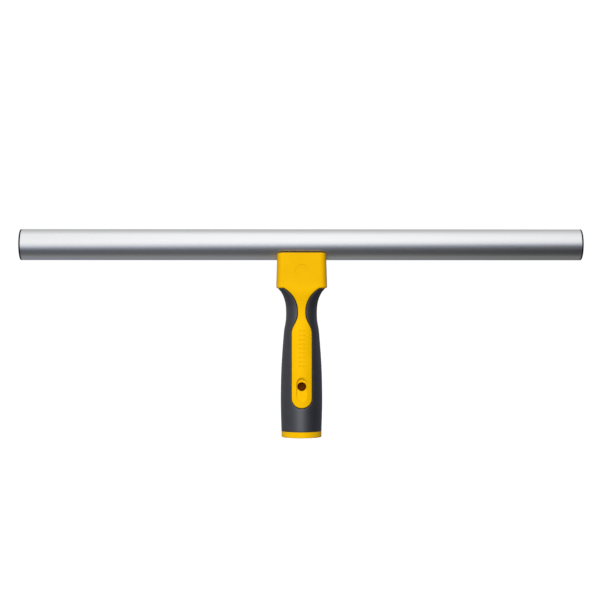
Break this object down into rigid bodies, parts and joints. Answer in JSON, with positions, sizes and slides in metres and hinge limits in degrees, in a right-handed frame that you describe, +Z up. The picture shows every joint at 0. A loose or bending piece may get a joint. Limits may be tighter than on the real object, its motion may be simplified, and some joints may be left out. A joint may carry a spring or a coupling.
{
  "type": "window washer bar",
  "caption": "T-shaped window washer bar: a capped aluminium tube that carries a washing sleeve, bolted across a two-colour moulded handle with a pole socket.",
  "frame": {"origin": "centre of the pole socket's mouth, at the foot of the handle", "axes": "+Z up the handle to the tube, +X along the tube, -Y out of the handle's front, where the spine and the lock hole are"},
  "size_m": [0.4534, 0.0346, 0.1675],
  "materials": {
    "satin_aluminium": "satin extruded",
    "black_plastic": "fine moulded",
    "yellow_plastic": "fine spark-eroded",
    "grey_soft_rubber": "soft matt",
    "zinc_plated_steel": "bright zinc plate",
    "yellow_zinc_steel": "yellow zinc plate"
  },
  "bodies": {
    "root": {"cross_tube": "satin_aluminium", "end_cap_left": "black_plastic", "end_cap_right": "black_plastic", "handle_core": "yellow_plastic", "soft_grip": "grey_soft_rubber", "fixing_bolt": "zinc_plated_steel", "flat_washer": "zinc_plated_steel", "spring_washer": "zinc_plated_steel", "rivet_nut": "yellow_zinc_steel"}
  },
  "joints": []
}
